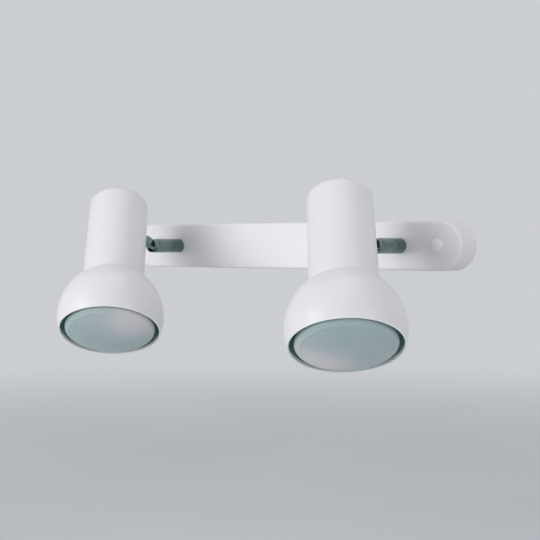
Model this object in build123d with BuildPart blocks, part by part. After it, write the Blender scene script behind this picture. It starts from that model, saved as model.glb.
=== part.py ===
from build123d import *
import os
from math import atan2, cos, degrees, radians, sin, sqrt

os.makedirs("parts", exist_ok=True)

# A wall light with two spotlights on a long canopy. Millimetres and degrees.
# The origin lies on the wall behind the middle of the canopy: +X runs along it, -Y leaves the wall, +Z is up.

# ---------------------------------------------------------------------------- driving dimensions

# Layout
light_spacing = 255.0  # between the two stems
rest_pan = 22.0  # how far a light is turned about its stem, anticlockwise seen from the room
rest_tilt = 25.0  # how far a light is tipped outwards from hanging parallel to the wall
pan_stop_angle = 165.0  # a light turns this far each way from hanging straight down

# Terminal block with three poles
block_x = -15.0
block_width = 18.0
block_end_gap = 1.0
turret_radius = 3.2
turret_height = 5.0
turret_edge = 1.2
turret_offset = block_width / 2 - turret_radius - turret_edge
clamp_radius = 2.6
clamp_bore_radius = 1.4
clamp_level = 4.4
clamp_cover = 1.0
clamp_screw_radius = 1.3
block_height = clamp_level + clamp_radius + clamp_cover
block_screw_radius = 1.4
pole_wall = 0.5  # between a clamp and the block's screw beside it
pole_pitch = 2 * (clamp_radius + pole_wall + block_screw_radius)

# Wall bracket: a shallow steel channel, as wide inside as the terminal block's poles
bracket_inset = 12.0  # from the canopy's end
bracket_flange = 5.0
bracket_corner_radius = 5.0
bracket_sheet = 1.5
bracket_inside = 3 * pole_pitch
bracket_width = bracket_inside + 2 * bracket_sheet
wall_slot_spacing = 160.0
wall_slot_width = 5.2
wall_slot_length = 14.0

# Canopy: a pressed tray with round ends, over the bracket
canopy_overhang = 59.5  # from each stem to the canopy's end
canopy_depth = 26.0
canopy_sheet = 1.0
canopy_edge_radius = 2.4
bracket_side_gap = 5.2  # from the bracket to the canopy's walls
fixing_inset = 23.3  # from the canopy's end to its domed nut
canopy_width = bracket_width + 2 * (bracket_side_gap + canopy_sheet)
canopy_length = light_spacing + 2 * canopy_overhang
bracket_length = canopy_length - 2 * bracket_inset
fixing_spacing = canopy_length - 2 * fixing_inset

# Studs and domed nuts that hold the canopy
stud_radius = 2.0
stud_head_radius = 3.5
stud_thread_in_nut = 3.2
nut_radius = 6.1
nut_rim = 1.0
nut_height = 4.2

# Cable grommet
grommet_x = 35.0
grommet_bore_radius = 4.5
grommet_wall = 2.0
grommet_lip = 1.5

# Earth terminal
earth_x = 12.0
earth_screw_radius = 1.9
earth_head_radius = 3.8
earth_head_height = 2.6
earth_washer_size = 9.0
earth_washer_sheet = 1.0
earth_wall_gap = 1.0
earth_z = -(bracket_inside - earth_washer_size) / 2 + earth_wall_gap

# Swivel: fixed collar, turning barrel with a fork, knuckle in the fork
swivel_radius = 6.6
swivel_thread_radius = 5.0
thread_clearance = 0.1
running_clearance = 0.05
collar_length = 16.0
collar_thread_length = 9.0
barrel_reach = 40.0  # from the canopy to the fork's tips
barrel_seam = 0.3
barrel_edge = 0.4
spigot_radius = 3.95
spigot_past_collar = 2.6
wire_bore_radius = 2.6
locknut_across_flats = 14.0
locknut_height = 3.0
toothed_washer_radius = 8.4
toothed_washer_sheet = 0.7
friction_washer_sheet = 0.8
retaining_ring_width = 1.65
retaining_ring_sheet = 0.8
retaining_groove_depth = 0.35
stop_pin_radius = 0.7
stop_pin_circle = (spigot_radius + swivel_radius) / 2
stop_pin_height = 1.6

pivot_from_tip = 5.5  # from the pivot to the fork's tips
fork_slot = 9.0
fork_slot_top = 3.6  # how far the slot runs behind the pivot on the side that the light tips towards
fork_slot_bottom = -0.5
knuckle_radius = 4.0
knuckle_pocket_clearance = 0.4
knuckle_shoulder = 8.4  # from the pivot to the knuckle's round seat
knuckle_seat_radius = 5.2
knuckle_thread_radius = 4.0
knuckle_bore_radius = 2.9
tongue_width = 4.6
wire_hole_radius = 1.15  # beside the tongue, for the wires
wire_hole_gap = 0.15
wire_hole_offset = tongue_width / 2 + wire_hole_gap + wire_hole_radius
wire_chamber_radius = 4.0
pivot_screw_radius = 1.5
pivot_dog_radius = 1.1
pivot_dog_length = 1.3
pivot_slot_width = 0.5
pivot_slot_depth = 0.6
knuckle_washer_radius = 6.8
knuckle_nut_across_flats = 12.0

# Reflector lamp, 80 mm across and 112 mm long, with a 27 mm screw cap. The rest of a light is sized round it.
# Heights in a light are measured from the rim of its shade.
lamp_length = 112.0
lamp_radius = 40.0
lamp_stand_out = 6.9  # how far its face comes out of the shade
lamp_face_rise = 4.5
lamp_edge_width = 5.0
lamp_edge_height = 4.4
lamp_throat_length = 27.0
lamp_glass_wall = 1.0
lamp_cap_radius = 13.05
lamp_cap_length = 26.0
lamp_cap_overlap = 3.0  # over the glass
lamp_cap_end = 5.5  # from the top of the cap's thread to the lamp's tip
lamp_cap_sheet = 0.5
lamp_neck_step = 1.15  # from the cap's thread out to the neck
lamp_contact_radius = 5.0
lamp_contact_height = 1.6
lamp_face_radius = lamp_radius - lamp_edge_width
lamp_neck_radius = lamp_cap_radius + lamp_neck_step
lamp_apex = -lamp_stand_out
lamp_tip = lamp_apex + lamp_length
lamp_widest = lamp_apex + lamp_face_rise + lamp_edge_height
lamp_glass_top = lamp_tip - lamp_cap_length
lamp_shoulder = lamp_glass_top - lamp_throat_length  # where the reflector turns into the throat
lamp_cap_bottom = lamp_glass_top - lamp_cap_overlap
lamp_cap_top = lamp_tip - lamp_cap_end

# Lampholder, round the lamp's cap
cap_clearance = 0.35
shell_wall = 0.5
shell_clearance = 0.2
shell_height = 18.0
shell_inset = 2.5
holder_wall = 2.4
holder_skirt_wall = 3.0  # added to the wall below the waist
holder_skirt = 15.0
holder_mouth_gap = 1.4  # from the lamp's collar to the lampholder
holder_block = 15.0  # solid above the contact's chamber
contact_room = 1.9  # between the lamp's tip and the chamber's floor
contact_width = 5.0
contact_length = 17.0
contact_sheet = 0.5
holder_screw_spacing = 14.0
holder_screw_radius = 1.5
holder_screw_head_radius = 2.7
holder_screw_head_height = 1.8
terminal_radius = 1.6
terminal_drop = 4.5  # below the lampholder's top
shell_radius = lamp_cap_radius + cap_clearance + shell_wall
holder_bore_radius = shell_radius + shell_clearance
holder_waist_radius = holder_bore_radius + holder_wall
holder_radius = holder_waist_radius + holder_skirt_wall
holder_floor = lamp_tip + contact_room
holder_top = holder_floor + holder_block
holder_bottom = lamp_glass_top + lamp_cap_sheet + holder_mouth_gap
holder_step = holder_bottom + holder_skirt
shell_bottom = holder_bottom + shell_inset
terminal_level = holder_top - terminal_drop

# Lampholder bracket. The knuckle passes through its leg, under the lampholder's top.
holder_bracket_width = 16.0
holder_bracket_sheet = 1.5
holder_bracket_reach = 11.0  # past the light's axis
knuckle_below_top = 9.5
leg_below_knuckle = 11.5
head_height = holder_top - knuckle_below_top  # from the rim of the shade to the knuckle
holder_bracket_bottom = head_height - leg_below_knuckle

# Head tube
tube_room = 10.6  # from the lampholder's waist, for the knuckle's nut and the bracket's leg
tube_taper = 0.8
tube_sheet = 0.8
tube_above_knuckle = 20.5
tube_dome_height = 13.5
tube_top_radius = holder_waist_radius + tube_room
tube_bottom_radius = tube_top_radius + tube_taper
tube_shoulder = head_height + tube_above_knuckle
tube_top = tube_shoulder + tube_dome_height
pivot_to_tube = 19.1
head_offset = tube_bottom_radius + pivot_to_tube  # from the pivot to the light's axis

# Shade: an ellipse turned about the light's axis
shade_room = 7.5  # round the lamp
shade_radius = lamp_radius + shade_room
shade_widest = 14.4  # above the rim
shade_crown = 48.2  # the ellipse's half height
shade_sheet = 1.0
shade_collar_height = 10.0
shade_fit_clearance = 0.05

# ---------------------------------------------------------------------------- planes and helpers

wall = Plane.XZ  # its normal leaves the wall
dome_arc = 89  # a domed end is flat for the last degree at its axis
sides = {"left": -1, "right": 1}


def turning(base):
    """The plane for a turned profile about base's normal: x is the radius, y the distance along that normal."""
    return Plane(origin=base.origin, x_dir=base.x_dir, z_dir=-base.y_dir)


def turn_axis(base):
    return Axis(base.origin, base.z_dir)


def save(piece, name):
    piece.part.label = name
    export_step(piece.part, f"parts/{name}.step")


def add_hex_nut(base, across_flats, bore, height):
    with BuildSketch(base) as outline:
        RegularPolygon(across_flats / 2, 6, major_radius=False)
        Circle(bore, mode=Mode.SUBTRACT)
    extrude(outline.sketch, amount=height)


def add_toothed_washer(base, outer, inner, height, teeth=8):
    with BuildSketch(base) as outline:
        Circle(outer)
        Circle(inner, mode=Mode.SUBTRACT)
        with PolarLocations(outer, teeth):
            RegularPolygon(outer * 0.16, 3, mode=Mode.SUBTRACT)
    extrude(outline.sketch, amount=height)


def shade_height(radius):
    """How far above the rim the shade's outside has this radius, between its widest part and its neck."""
    return shade_widest + shade_crown * sqrt(1 - (radius / shade_radius) ** 2)


def tube_bottom():
    """The tube stands on the shade's outside."""
    return shade_height(tube_bottom_radius) + shade_fit_clearance


def side_planes(sign):
    """Planes for one light, each with its normal along the piece: stem, pivot in the fork, knuckle and head."""
    stem = Plane(origin=(sign * light_spacing / 2, -canopy_depth, 0), x_dir=(1, 0, 0), z_dir=(0, -1, 0))
    pan, tilt = radians(rest_pan), radians(rest_tilt)
    pivot = Plane(
        origin=stem.origin + stem.z_dir * (barrel_reach - pivot_from_tip),
        x_dir=(cos(pan), 0, sin(pan)),
        z_dir=stem.z_dir,
    )
    knuckle = Plane(
        origin=pivot.origin, x_dir=pivot.x_dir, z_dir=pivot.z_dir * cos(tilt) + pivot.y_dir * sin(tilt)
    )
    rim = knuckle.origin + knuckle.z_dir * head_offset - knuckle.y_dir * head_height
    head = Plane(origin=rim, x_dir=knuckle.x_dir, z_dir=knuckle.y_dir)
    return stem, pivot, knuckle, head


# ---------------------------------------------------------------------------- canopy and its fixings


def make_canopy():
    hole_radius = swivel_thread_radius + thread_clearance
    with BuildPart() as canopy:
        with BuildSketch(wall):
            SlotOverall(canopy_length, canopy_width)
        extrude(amount=canopy_depth)
        fillet(canopy.faces().sort_by(Axis.Y)[0].edges(), radius=canopy_edge_radius)
        offset(amount=-canopy_sheet, openings=canopy.faces().sort_by(Axis.Y)[-1])
        with BuildSketch(wall.offset(canopy_depth)):
            with GridLocations(light_spacing, 0, 2, 1):
                Circle(hole_radius)
            with GridLocations(fixing_spacing, 0, 2, 1):
                Circle(stud_radius + 3 * thread_clearance)
        extrude(amount=-2 * canopy_sheet, mode=Mode.SUBTRACT)
    save(canopy, "canopy")


def make_wall_bracket():
    with BuildPart() as bracket:
        with BuildSketch(wall):
            RectangleRounded(bracket_length, bracket_width, bracket_corner_radius)
        extrude(amount=bracket_flange)
        with BuildSketch(wall.offset(bracket_sheet)):
            Rectangle(2 * bracket_length, bracket_inside)
        extrude(amount=bracket_flange, mode=Mode.SUBTRACT)
        with BuildSketch(wall):
            with GridLocations(wall_slot_spacing, 0, 2, 1):
                SlotOverall(wall_slot_length, wall_slot_width)
            with GridLocations(fixing_spacing, 0, 2, 1):
                Circle(stud_head_radius)
            with Locations((grommet_x, 0)):
                Circle(grommet_bore_radius + grommet_wall)
            with Locations((block_x, -pole_pitch / 2), (block_x, pole_pitch / 2)):
                Circle(block_screw_radius)
            with Locations((earth_x, earth_z)):
                Circle(earth_screw_radius)
        extrude(amount=bracket_sheet, mode=Mode.SUBTRACT)
    save(bracket, "wall_bracket")


def make_studs():
    with BuildPart() as studs:
        with BuildSketch(wall):
            with GridLocations(fixing_spacing, 0, 2, 1):
                Circle(stud_head_radius)
        extrude(amount=bracket_sheet)
        with BuildSketch(wall.offset(bracket_sheet)):
            with GridLocations(fixing_spacing, 0, 2, 1):
                Circle(stud_radius)
        extrude(amount=canopy_depth + stud_thread_in_nut - bracket_sheet)
    save(studs, "canopy_studs")


def make_domed_nuts():
    base = Plane(origin=(fixing_spacing / 2, -canopy_depth, 0), x_dir=(1, 0, 0), z_dir=(0, -1, 0))
    with BuildPart() as nuts:
        with BuildSketch(turning(base)):
            with BuildLine():
                dome = EllipticalCenterArc((0, nut_rim), nut_radius, nut_height - nut_rim, 0, arc_size=dome_arc)
                Polyline(dome @ 1, (0, (dome @ 1).Y), (0, 0), (nut_radius, 0), dome @ 0)
            make_face()
        revolve(axis=turn_axis(base))
        with BuildSketch(base):
            Circle(stud_radius)
        extrude(amount=stud_thread_in_nut, mode=Mode.SUBTRACT)
        mirror(about=Plane.YZ)
    save(nuts, "domed_nuts")


def make_grommet():
    base = Plane(origin=(grommet_x, 0, 0), x_dir=(1, 0, 0), z_dir=(0, -1, 0))
    bore, body = grommet_bore_radius, grommet_bore_radius + grommet_wall
    lip = body + grommet_lip
    with BuildPart() as grommet:
        with BuildSketch(turning(base)):
            Polygon(
                (bore, 0),
                (body, 0),
                (body, bracket_sheet),
                (lip, bracket_sheet),
                (lip, bracket_sheet + grommet_lip),
                (bore, bracket_sheet + grommet_lip),
                align=None,
            )
        revolve(axis=turn_axis(base))
        rim = grommet.edges().filter_by(GeomType.CIRCLE).group_by(Axis.Y)[0].sort_by(SortBy.RADIUS)[-1]
        fillet(rim, radius=grommet_lip * 0.6)
    save(grommet, "cable_grommet")


# ---------------------------------------------------------------------------- terminal block and earth


def pole_locations():
    return Locations(*[(block_x, row * pole_pitch) for row in (-1, 0, 1)])


def clamp_screw_locations():
    return Locations(
        *[(block_x + end * turret_offset, row * pole_pitch) for end in (-1, 1) for row in (-1, 0, 1)]
    )


def make_terminal_block():
    base = wall.offset(bracket_sheet)
    with BuildPart() as block:
        with BuildSketch(base):
            with Locations((block_x, 0)):
                RectangleRounded(block_width, 3 * pole_pitch - block_end_gap, 2)
        extrude(amount=block_height)
        with BuildSketch(base.offset(block_height)):
            with clamp_screw_locations():
                Circle(turret_radius)
        extrude(amount=turret_height)
        with BuildSketch(base.offset(clamp_level)):
            with clamp_screw_locations():
                Circle(clamp_screw_radius + thread_clearance)
        extrude(amount=block_height + turret_height, mode=Mode.SUBTRACT)
        with BuildSketch(Plane(origin=(block_x, 0, 0), x_dir=(0, 1, 0), z_dir=(1, 0, 0))):
            with Locations(*[(-bracket_sheet - clamp_level, row * pole_pitch) for row in (-1, 0, 1)]):
                Circle(clamp_radius)
        extrude(amount=block_width, both=True, mode=Mode.SUBTRACT)
        with BuildSketch(base):
            with Locations((block_x, -pole_pitch / 2), (block_x, pole_pitch / 2)):
                Circle(block_screw_radius + thread_clearance)
        extrude(amount=block_height + turret_height, mode=Mode.SUBTRACT)
    save(block, "terminal_block")


def make_terminal_clamps():
    length = block_width - 2
    with BuildPart() as clamps:
        with BuildSketch(Plane(origin=(block_x, 0, 0), x_dir=(0, 1, 0), z_dir=(1, 0, 0))):
            with Locations(*[(-bracket_sheet - clamp_level, row * pole_pitch) for row in (-1, 0, 1)]):
                Circle(clamp_radius)
                Circle(clamp_bore_radius, mode=Mode.SUBTRACT)
        extrude(amount=length / 2, both=True)
        with BuildSketch(wall.offset(bracket_sheet + clamp_level)):
            with clamp_screw_locations():
                Circle(clamp_screw_radius)
        extrude(amount=clamp_radius, mode=Mode.SUBTRACT)
    save(clamps, "terminal_clamps")


def make_clamp_screws():
    foot = bracket_sheet + clamp_level + clamp_bore_radius * 0.4
    tip = bracket_sheet + block_height + turret_height - 1.5
    with BuildPart() as screws:
        with BuildSketch(wall.offset(foot)):
            with clamp_screw_locations():
                Circle(clamp_screw_radius)
        extrude(amount=tip - foot)
        with BuildSketch(wall.offset(tip)):
            with clamp_screw_locations():
                Rectangle(0.5, 3 * clamp_screw_radius)
        extrude(amount=-0.7, mode=Mode.SUBTRACT)
    save(screws, "terminal_screws")


def make_block_screws():
    seat = bracket_sheet + block_height
    with BuildPart() as screws:
        with BuildSketch(wall):
            with Locations((block_x, -pole_pitch / 2), (block_x, pole_pitch / 2)):
                Circle(block_screw_radius)
        extrude(amount=seat)
        with BuildSketch(wall.offset(seat)):
            with Locations((block_x, -pole_pitch / 2), (block_x, pole_pitch / 2)):
                Circle(block_screw_radius + 0.9)
        extrude(amount=1.6)
        with BuildSketch(wall.offset(seat + 1.6)):
            with Locations((block_x, -pole_pitch / 2), (block_x, pole_pitch / 2)):
                Rectangle(0.6, 4 * block_screw_radius)
        extrude(amount=-0.8, mode=Mode.SUBTRACT)
    save(screws, "terminal_block_screws")


def make_earth_terminal():
    seat = wall.offset(bracket_sheet)
    with BuildPart() as screw:
        with BuildSketch(wall):
            with Locations((earth_x, earth_z)):
                Circle(earth_screw_radius)
        extrude(amount=bracket_sheet + earth_washer_sheet)
        with BuildSketch(seat.offset(earth_washer_sheet)):
            with Locations((earth_x, earth_z)):
                Circle(earth_head_radius)
        extrude(amount=earth_head_height)
        fillet(screw.edges().group_by(Axis.Y)[0], radius=0.7)
        with BuildSketch(seat.offset(earth_washer_sheet + earth_head_height)):
            with Locations((earth_x, earth_z)):
                Rectangle(0.9, 2.4 * earth_head_radius)
        extrude(amount=-1.1, mode=Mode.SUBTRACT)
    save(screw, "earth_screw")

    with BuildPart() as washer:
        with BuildSketch(seat):
            with Locations((earth_x, earth_z)):
                Rectangle(earth_washer_size, earth_washer_size)
                Circle(earth_screw_radius + thread_clearance, mode=Mode.SUBTRACT)
        extrude(amount=earth_washer_sheet)
    save(washer, "earth_washer")


# ---------------------------------------------------------------------------- swivel, fixed half


def make_collar(side, stem):
    """The collar is screwed through the canopy. Its front face carries the pin that stops the barrel."""
    bore = spigot_radius + running_clearance
    with BuildPart() as collar:
        with BuildSketch(turning(stem)):
            Polygon(
                (bore, -collar_thread_length),
                (swivel_thread_radius, -collar_thread_length),
                (swivel_thread_radius, 0),
                (swivel_radius - barrel_edge, 0),
                (swivel_radius, barrel_edge),
                (swivel_radius, collar_length - barrel_edge),
                (swivel_radius - barrel_edge, collar_length),
                (bore, collar_length),
                align=None,
            )
        revolve(axis=turn_axis(stem))
        with BuildSketch(stem.offset(collar_length)):
            with Locations((0, stop_pin_circle)):
                Circle(stop_pin_radius)
        extrude(amount=-stop_pin_height, mode=Mode.SUBTRACT)
    save(collar, f"swivel_collar_{side}")


def make_collar_fixings(stem):
    """For both collars: stop pins in front, washers and nuts behind the canopy."""
    inner_face = stem.offset(-canopy_sheet - toothed_washer_sheet)
    with BuildPart() as pins:
        with BuildSketch(stem.offset(collar_length - stop_pin_height)):
            with Locations((0, stop_pin_circle)):
                Circle(stop_pin_radius)
        extrude(amount=2 * stop_pin_height)
        mirror(about=Plane.YZ)
    save(pins, "pan_stop_pins")

    with BuildPart() as washers:
        add_toothed_washer(
            inner_face, toothed_washer_radius, swivel_thread_radius + thread_clearance, toothed_washer_sheet
        )
        mirror(about=Plane.YZ)
    save(washers, "collar_washers")

    with BuildPart() as nuts:
        add_hex_nut(
            inner_face.offset(-locknut_height), locknut_across_flats, swivel_thread_radius, locknut_height
        )
        mirror(about=Plane.YZ)
    save(nuts, "collar_locknuts")

    outer, inner = swivel_thread_radius + 0.8, spigot_radius + running_clearance
    with BuildPart() as friction_washers:
        with BuildSketch(stem.offset(-collar_thread_length - friction_washer_sheet)):
            Circle(outer)
            Circle(inner, mode=Mode.SUBTRACT)
        extrude(amount=friction_washer_sheet)
        mirror(about=Plane.YZ)
    save(friction_washers, "friction_washers")


# ---------------------------------------------------------------------------- swivel, turning half


def ring_seat(stem):
    """The back of the retaining ring, which sits on the spigot behind the collar and its friction washer."""
    return stem.offset(-collar_thread_length - friction_washer_sheet - retaining_ring_sheet)


def make_barrel(side, stem, pivot):
    """The barrel turns in the collar on its spigot. Its front end is a fork for the knuckle."""
    spigot_end = -collar_thread_length - spigot_past_collar
    back = collar_length + barrel_seam
    groove = -collar_thread_length - friction_washer_sheet
    slot_end = barrel_reach + 1
    with BuildPart() as barrel:
        with BuildSketch(turning(stem)):
            Polygon(
                (wire_bore_radius, spigot_end),
                (spigot_radius, spigot_end),
                (spigot_radius, groove - retaining_ring_sheet),
                (spigot_radius - retaining_groove_depth, groove - retaining_ring_sheet),
                (spigot_radius - retaining_groove_depth, groove),
                (spigot_radius, groove),
                (spigot_radius, back),
                (swivel_radius - barrel_edge, back),
                (swivel_radius, back + barrel_edge),
                (swivel_radius, barrel_reach - barrel_edge),
                (swivel_radius - barrel_edge, barrel_reach),
                (wire_bore_radius, barrel_reach),
                align=None,
            )
        revolve(axis=turn_axis(stem))
        # the round pocket for the knuckle, then the slot above and below it
        across = Plane(origin=pivot.origin, x_dir=pivot.z_dir, z_dir=pivot.x_dir)
        with BuildSketch(across):
            Circle(knuckle_radius + knuckle_pocket_clearance)
            with Locations((-fork_slot_top, 0)):
                Rectangle(slot_end, swivel_radius + 1, align=(Align.MIN, Align.MAX))
            with Locations((-fork_slot_bottom, 0)):
                Rectangle(slot_end, swivel_radius + 1, align=(Align.MIN, Align.MIN))
        extrude(amount=fork_slot / 2, both=True, mode=Mode.SUBTRACT)
        with BuildSketch(across):
            Circle(pivot_screw_radius)
        extrude(amount=swivel_radius + 1, both=True, mode=Mode.SUBTRACT)
        # the groove that the stop pin runs in
        pin_room = stop_pin_radius + thread_clearance
        travel = pan_stop_angle + degrees(pin_room / stop_pin_circle)
        with BuildSketch(stem.offset(back)):
            with BuildLine():
                CenterArc((0, 0), stop_pin_circle, 90 + rest_pan - travel, 2 * travel)
            trace(line_width=2 * pin_room)
        extrude(amount=stop_pin_height + 0.3, mode=Mode.SUBTRACT)
    save(barrel, f"swivel_barrel_{side}")


def make_retaining_ring(side, stem):
    base = ring_seat(stem)
    inner, outer = spigot_radius - retaining_groove_depth, spigot_radius + retaining_ring_width
    with BuildPart() as clip:
        with BuildSketch(base):
            Circle(outer)
            Circle(inner, mode=Mode.SUBTRACT)
            with Locations((0, -outer)):
                Rectangle(1.1 * inner, 2 * outer, mode=Mode.SUBTRACT)
        extrude(amount=retaining_ring_sheet)
    save(clip, f"retaining_ring_{side}")


def make_pivot_screws(side, pivot):
    """Two short slotted screws in the fork's ears. Their ends are the trunnions that the knuckle tilts on."""
    half_tongue = tongue_width / 2
    outside = sqrt(swivel_radius**2 - pivot_screw_radius**2) - 0.1
    across = Plane(origin=pivot.origin, x_dir=pivot.z_dir, z_dir=pivot.x_dir)
    tilt_mirror = Plane(origin=pivot.origin, x_dir=pivot.y_dir, z_dir=pivot.x_dir)
    with BuildPart() as screws:
        with BuildSketch(across.offset(half_tongue)):
            Circle(pivot_screw_radius)
        extrude(amount=outside - half_tongue)
        with BuildSketch(across.offset(half_tongue - pivot_dog_length)):
            Circle(pivot_dog_radius)
        extrude(amount=pivot_dog_length)
        with BuildSketch(across.offset(outside)):
            Rectangle(pivot_slot_width, 3 * pivot_screw_radius)
        extrude(amount=-pivot_slot_depth, mode=Mode.SUBTRACT)
        mirror(about=tilt_mirror)
    save(screws, f"pivot_screws_{side}")


# ---------------------------------------------------------------------------- swivel, tilting half


def make_knuckle(side, knuckle, head):
    """The tongue sits in the fork, the round seat meets the head tube, and the hollow shank passes its wall."""
    shank_end = head_offset - shank_end_radius()
    shank_start = knuckle_shoulder + 1
    across = Plane(origin=knuckle.origin, x_dir=knuckle.z_dir, z_dir=knuckle.x_dir)
    with BuildPart() as piece:
        with BuildSketch(across):
            Circle(knuckle_radius)
            Rectangle(shank_start, 2 * knuckle_radius, align=(Align.MIN, Align.CENTER))
        extrude(amount=tongue_width / 2, both=True)
        with BuildSketch(knuckle.offset(knuckle_shoulder)):
            Circle(knuckle_seat_radius)
        extrude(amount=head_offset - knuckle_shoulder - tube_bottom_radius / 2)
        with BuildSketch(turning(head)):
            Polygon(
                (0, 0),
                (tube_bottom_radius, 0),
                (tube_bottom_radius, tube_bottom()),
                (tube_top_radius, tube_shoulder),
                (0, tube_shoulder),
                align=None,
            )
        revolve(axis=turn_axis(head), mode=Mode.SUBTRACT)
        with BuildSketch(knuckle.offset(shank_start)):
            Circle(knuckle_thread_radius)
        extrude(amount=shank_end - shank_start)
        # the way for the wires: a hole each side of the tongue, then a chamber that narrows to the shank's bore
        with BuildSketch(turning(knuckle)):
            Polygon(
                (0, knuckle_shoulder + 2),
                (wire_chamber_radius, knuckle_shoulder + 2),
                (wire_chamber_radius, knuckle_shoulder + 5),
                (knuckle_bore_radius, knuckle_shoulder + 7),
                (knuckle_bore_radius, shank_end),
                (0, shank_end),
                align=None,
            )
        revolve(axis=turn_axis(knuckle), mode=Mode.SUBTRACT)
        with BuildSketch(knuckle.offset(knuckle_shoulder)):
            with GridLocations(2 * wire_hole_offset, 0, 2, 1):
                Circle(wire_hole_radius)
        extrude(amount=3, mode=Mode.SUBTRACT)
        with BuildSketch(across):
            Circle(pivot_dog_radius + running_clearance)
        extrude(amount=tongue_width / 2, both=True, mode=Mode.SUBTRACT)
    save(piece, f"knuckle_{side}")


def leg_radius():
    """From the light's axis to the flat outer face of the lampholder bracket's leg, whose edges touch the tube."""
    inside = tube_top_radius - tube_sheet
    return sqrt(inside**2 - (holder_bracket_width / 2) ** 2) - shade_fit_clearance


def shank_end_radius():
    return leg_radius() - holder_bracket_sheet - toothed_washer_sheet - locknut_height


def make_knuckle_fixings(side, knuckle):
    leg_face = knuckle.offset(head_offset - leg_radius() + holder_bracket_sheet)
    with BuildPart() as washer:
        add_toothed_washer(
            leg_face, knuckle_washer_radius, knuckle_thread_radius + thread_clearance, toothed_washer_sheet
        )
    save(washer, f"knuckle_washer_{side}")
    with BuildPart() as nut:
        add_hex_nut(
            leg_face.offset(toothed_washer_sheet),
            knuckle_nut_across_flats,
            knuckle_thread_radius,
            locknut_height,
        )
    save(nut, f"knuckle_locknut_{side}")


# ---------------------------------------------------------------------------- head


def tube_outer_radius(height):
    """The tube tapers from its foot to its shoulder."""
    share = (height - tube_bottom()) / (tube_shoulder - tube_bottom())
    return tube_bottom_radius + (tube_top_radius - tube_bottom_radius) * share


def ellipse_angle(radius, half_width):
    """The angle on the shade's ellipse at which it is this far from the axis."""
    return degrees(atan2(sqrt(1 - (radius / half_width) ** 2), radius / half_width))


def make_head_tube(side, knuckle, head):
    """Its foot is cut to the slope of the shade that it stands on."""
    inner_top = tube_top_radius - tube_sheet
    foot = tube_bottom_radius - tube_sheet
    with BuildPart() as tube:
        with BuildSketch(turning(head)):
            with BuildLine():
                dome = EllipticalCenterArc(
                    (0, tube_shoulder), tube_top_radius, tube_top - tube_shoulder, 0, arc_size=dome_arc
                )
                inner_dome = EllipticalCenterArc(
                    (0, tube_shoulder),
                    inner_top,
                    tube_top - tube_sheet - tube_shoulder,
                    0,
                    arc_size=dome_arc,
                )
                Polyline(dome @ 1, (0, (dome @ 1).Y), (0, (inner_dome @ 1).Y), inner_dome @ 1)
                Polyline(
                    dome @ 0,
                    (tube_bottom_radius, tube_bottom()),
                    (foot, shade_height(foot) + shade_fit_clearance),
                    inner_dome @ 0,
                )
            make_face()
        revolve(axis=turn_axis(head))
        with BuildSketch(knuckle.offset(knuckle_shoulder)):
            Circle(knuckle_thread_radius + thread_clearance)
        extrude(amount=head_offset - knuckle_shoulder, mode=Mode.SUBTRACT)
    save(tube, f"head_tube_{side}")


def make_shade(side, head):
    """A spun bell whose collar fits inside the head tube."""
    collar_top = tube_bottom() + shade_collar_height
    collar = tube_outer_radius(collar_top) - tube_sheet - shade_fit_clearance
    inner_width, inner_crown = shade_radius - shade_sheet, shade_crown - shade_sheet
    rim_angle = degrees(atan2(shade_widest / shade_crown, sqrt(1 - (shade_widest / shade_crown) ** 2)))
    inner_rim_angle = degrees(atan2(shade_widest / inner_crown, sqrt(1 - (shade_widest / inner_crown) ** 2)))
    neck_angle = ellipse_angle(collar, shade_radius)
    inner_neck_angle = ellipse_angle(collar - shade_sheet, inner_width)
    with BuildPart() as shade:
        with BuildSketch(turning(head)):
            with BuildLine():
                outer = EllipticalCenterArc(
                    (0, shade_widest), shade_radius, shade_crown, -rim_angle, arc_size=rim_angle + neck_angle
                )
                inner = EllipticalCenterArc(
                    (0, shade_widest),
                    inner_width,
                    inner_crown,
                    -inner_rim_angle,
                    arc_size=inner_rim_angle + inner_neck_angle,
                )
                Polyline(outer @ 1, (collar, collar_top), (collar - shade_sheet, collar_top), inner @ 1)
                Line(outer @ 0, inner @ 0)
            make_face()
        revolve(axis=turn_axis(head))
    save(shade, f"shade_{side}")


def make_holder_bracket(side, knuckle, head):
    """A bent strip: its leg is clamped to the tube's wall by the knuckle's nut, its foot carries the lampholder."""
    leg = leg_radius()
    sideways = Plane(origin=head.origin, x_dir=head.y_dir, z_dir=head.x_dir)
    top = holder_top + holder_bracket_sheet
    with BuildPart() as strip:
        with BuildSketch(sideways):
            Polygon(
                (leg, holder_bracket_bottom),
                (leg, top),
                (-holder_bracket_reach, top),
                (-holder_bracket_reach, holder_top),
                (leg - holder_bracket_sheet, holder_top),
                (leg - holder_bracket_sheet, holder_bracket_bottom),
                align=None,
            )
        extrude(amount=holder_bracket_width / 2, both=True)
        with BuildSketch(knuckle.offset(head_offset - leg)):
            Circle(knuckle_thread_radius + thread_clearance)
        extrude(amount=holder_bracket_sheet, mode=Mode.SUBTRACT)
        with BuildSketch(head.offset(holder_top)):
            with GridLocations(0, holder_screw_spacing, 1, 2):
                Circle(holder_screw_radius + thread_clearance)
        extrude(amount=holder_bracket_sheet, mode=Mode.SUBTRACT)
    save(strip, f"lampholder_bracket_{side}")


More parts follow.
